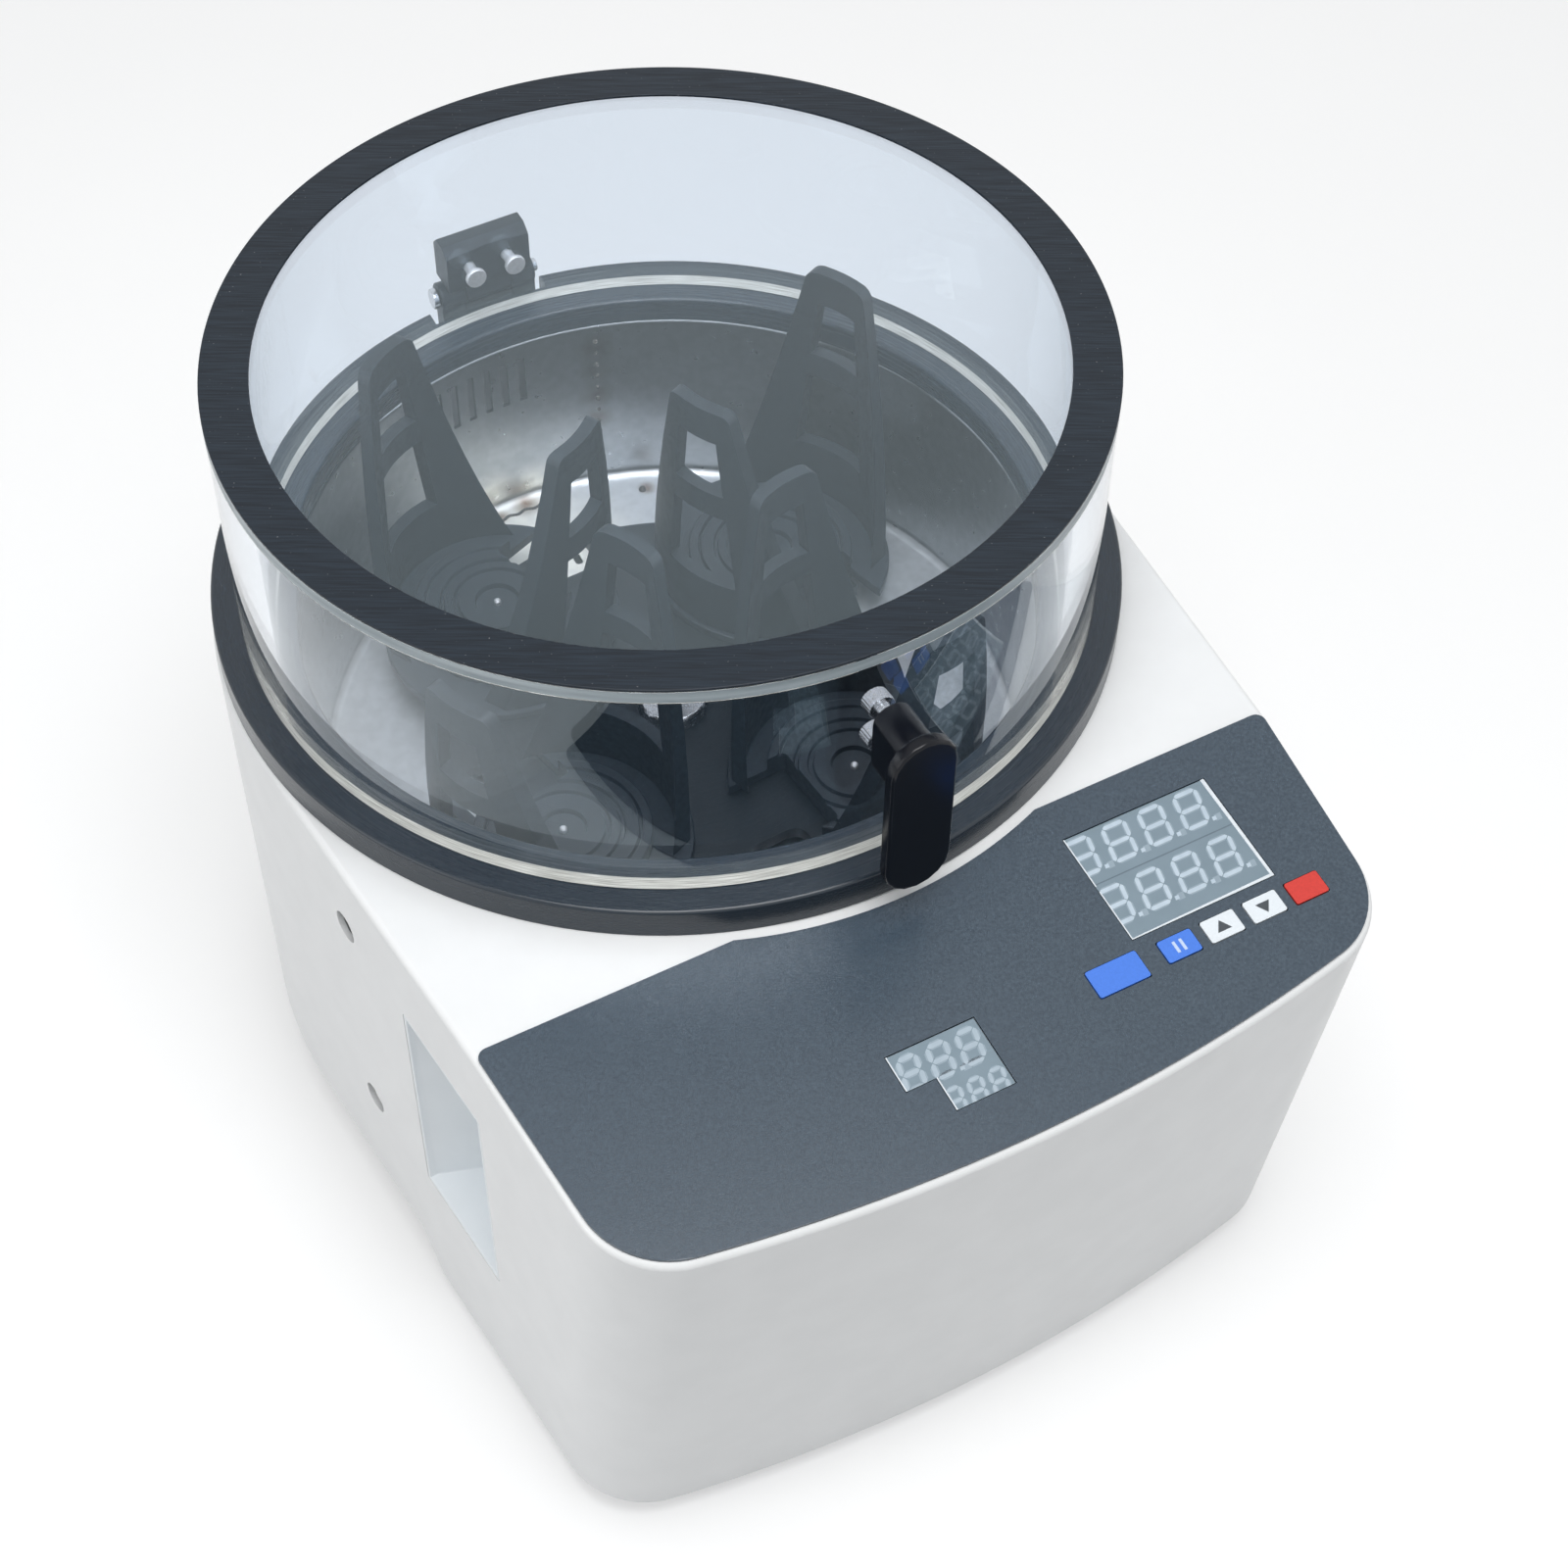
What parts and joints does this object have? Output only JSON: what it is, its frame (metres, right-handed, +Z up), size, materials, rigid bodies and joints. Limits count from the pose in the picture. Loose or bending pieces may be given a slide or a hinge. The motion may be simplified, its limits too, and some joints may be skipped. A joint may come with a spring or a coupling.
{
  "type": "planetary ball mill",
  "caption": "Bench-top planetary ball mill: geared planet seats with windowed uprights in a steel bowl under a hinged clear lid, sloped control console at the front.",
  "frame": {"origin": "middle of the footprint, level with the feet's undersides", "axes": "+Z up, -Y to the operator's side (console and handle), +X to the operator's right"},
  "size_m": [0.3256, 0.4262, 0.3245],
  "materials": {
    "white_paint": "satin",
    "black_anodised": "satin",
    "black_brushed": "brushed",
    "clear_acrylic": "polished",
    "stainless": "brushed",
    "bright_steel": "polished",
    "zinc_steel": "matte",
    "cast_aluminium": "matte",
    "rubber": "matte",
    "black_plastic": "satin",
    "overlay_film": "fine texture",
    "display_film": "gloss",
    "blue_key": "matte",
    "white_key": "matte",
    "red_key": "matte",
    "board_green": "matte"
  },
  "bodies": {
    "housing": {"housing_shell": "white_paint", "side_pocket": "white_paint", "base_plate": "zinc_steel", "foot_front_left": "rubber", "foot_front_right": "rubber", "foot_rear_left": "rubber", "foot_rear_right": "rubber", "deck_frame": "zinc_steel", "bearing_housing": "cast_aluminium", "bearing_upper": "bright_steel", "bearing_lower": "bright_steel", "bowl": "stainless", "base_ring": "black_anodised", "fixed_sun_gear": "zinc_steel", "motor": "cast_aluminium", "motor_bracket": "zinc_steel", "drive_belt": "rubber", "drive_unit": "black_plastic", "control_overlay": "overlay_film", "speed_display": "display_film", "temperature_display": "display_film", "control_board": "board_green", "power_inlet": "black_plastic", "hinge_base": "black_anodised", "hinge_pin": "bright_steel"},
    "lid": {"lid_tube": "clear_acrylic", "lid_disc": "clear_acrylic", "lid_band": "black_brushed", "handle": "black_plastic", "handle_screw_lower": "bright_steel", "handle_screw_upper": "bright_steel", "hinge_leaf": "black_anodised", "hinge_screw_left": "bright_steel", "hinge_screw_right": "bright_steel"},
    "carrier": {"sun_wheel": "black_anodised", "main_shaft": "bright_steel", "driven_pulley": "cast_aluminium"},
    "motor_rotor": {"motor_pulley": "cast_aluminium"},
    "rocker": {"mains_rocker": "black_plastic"},
    "idler_1": {"idler_gear_1": "zinc_steel"},
    "planet_1": {"planet_seat_1": "black_anodised", "upright_1_outer": "black_anodised", "upright_1_inner": "black_anodised"},
    "idler_2": {"idler_gear_2": "zinc_steel"},
    "planet_2": {"planet_seat_2": "black_anodised", "upright_2_outer": "black_anodised", "upright_2_inner": "black_anodised"},
    "idler_3": {"idler_gear_3": "zinc_steel"},
    "planet_3": {"planet_seat_3": "black_anodised", "upright_3_outer": "black_anodised", "upright_3_inner": "black_anodised"},
    "idler_4": {"idler_gear_4": "zinc_steel"},
    "planet_4": {"planet_seat_4": "black_anodised", "upright_4_outer": "black_anodised", "upright_4_inner": "black_anodised"},
    "button_menu": {"key_menu": "blue_key"},
    "button_pause": {"key_pause": "blue_key"},
    "button_up": {"key_up": "white_key"},
    "button_down": {"key_down": "white_key"},
    "button_run_stop": {"key_run_stop": "red_key"}
  },
  "joints": [
    {"name": "lid_hinge", "type": "hinge", "parent": "housing", "child": "lid", "pos_m": [-0.00188, 0.20185, 0.236], "axis": [-1, 0, 0], "range_deg": [0, 95]},
    {"name": "sun_wheel_spin", "type": "hinge", "parent": "housing", "child": "carrier", "pos_m": [-0.00188, 0.04485, 0.1], "axis": [0, 0, 1], "continuous": true},
    {"name": "motor_spin", "type": "hinge", "parent": "housing", "child": "motor_rotor", "pos_m": [-0.00188, -0.13465, 0.07], "axis": [0, 0, 1], "continuous": true},
    {"name": "idler_1_spin", "type": "hinge", "parent": "carrier", "child": "idler_1", "pos_m": [0.03523, 0.06849, 0.1435], "axis": [0, 0, 1], "continuous": true},
    {"name": "planet_1_spin", "type": "hinge", "parent": "carrier", "child": "planet_1", "pos_m": [0.06221, 0.08568, 0.155], "axis": [0, 0, 1], "continuous": true},
    {"name": "idler_2_spin", "type": "hinge", "parent": "carrier", "child": "idler_2", "pos_m": [-0.02552, 0.08196, 0.1435], "axis": [0, 0, 1], "continuous": true},
    {"name": "planet_2_spin", "type": "hinge", "parent": "carrier", "child": "planet_2", "pos_m": [-0.04272, 0.10895, 0.155], "axis": [0, 0, 1], "continuous": true},
    {"name": "idler_3_spin", "type": "hinge", "parent": "carrier", "child": "idler_3", "pos_m": [-0.03899, 0.02121, 0.1435], "axis": [0, 0, 1], "continuous": true},
    {"name": "planet_3_spin", "type": "hinge", "parent": "carrier", "child": "planet_3", "pos_m": [-0.06598, 0.00402, 0.155], "axis": [0, 0, 1], "continuous": true},
    {"name": "idler_4_spin", "type": "hinge", "parent": "carrier", "child": "idler_4", "pos_m": [0.02176, 0.00774, 0.1435], "axis": [0, 0, 1], "continuous": true},
    {"name": "planet_4_spin", "type": "hinge", "parent": "carrier", "child": "planet_4", "pos_m": [0.03895, -0.01925, 0.155], "axis": [0, 0, 1], "continuous": true},
    {"name": "menu_press", "type": "slide", "parent": "housing", "child": "button_menu", "axis": [0, 0.1106, -0.9939], "range_m": [0, 0.0005], "stiffness_N_per_m": 400, "springref_m": -0.0003},
    {"name": "pause_press", "type": "slide", "parent": "housing", "child": "button_pause", "axis": [0, 0.1106, -0.9939], "range_m": [0, 0.0005], "stiffness_N_per_m": 400, "springref_m": -0.0003},
    {"name": "up_press", "type": "slide", "parent": "housing", "child": "button_up", "axis": [0, 0.1106, -0.9939], "range_m": [0, 0.0005], "stiffness_N_per_m": 400, "springref_m": -0.0003},
    {"name": "down_press", "type": "slide", "parent": "housing", "child": "button_down", "axis": [0, 0.1106, -0.9939], "range_m": [0, 0.0005], "stiffness_N_per_m": 400, "springref_m": -0.0003},
    {"name": "run_stop_press", "type": "slide", "parent": "housing", "child": "button_run_stop", "axis": [0, 0.1106, -0.9939], "range_m": [0, 0.0005], "stiffness_N_per_m": 400, "springref_m": -0.0003},
    {"name": "mains_switch", "type": "hinge", "parent": "housing", "child": "rocker", "pos_m": [0.15994, 0.01962, 0.062], "axis": [-0.0785, -0.9969, 0], "range_deg": [0, 16]}
  ],
  "couplings": [
    {"joint": "motor_spin", "follows": "sun_wheel_spin", "ratio": 2.5},
    {"joint": "idler_1_spin", "follows": "sun_wheel_spin", "ratio": 1.2},
    {"joint": "planet_1_spin", "follows": "sun_wheel_spin", "ratio": -2},
    {"joint": "idler_2_spin", "follows": "sun_wheel_spin", "ratio": 1.2},
    {"joint": "planet_2_spin", "follows": "sun_wheel_spin", "ratio": -2},
    {"joint": "idler_3_spin", "follows": "sun_wheel_spin", "ratio": 1.2},
    {"joint": "planet_3_spin", "follows": "sun_wheel_spin", "ratio": -2},
    {"joint": "idler_4_spin", "follows": "sun_wheel_spin", "ratio": 1.2},
    {"joint": "planet_4_spin", "follows": "sun_wheel_spin", "ratio": -2}
  ]
}
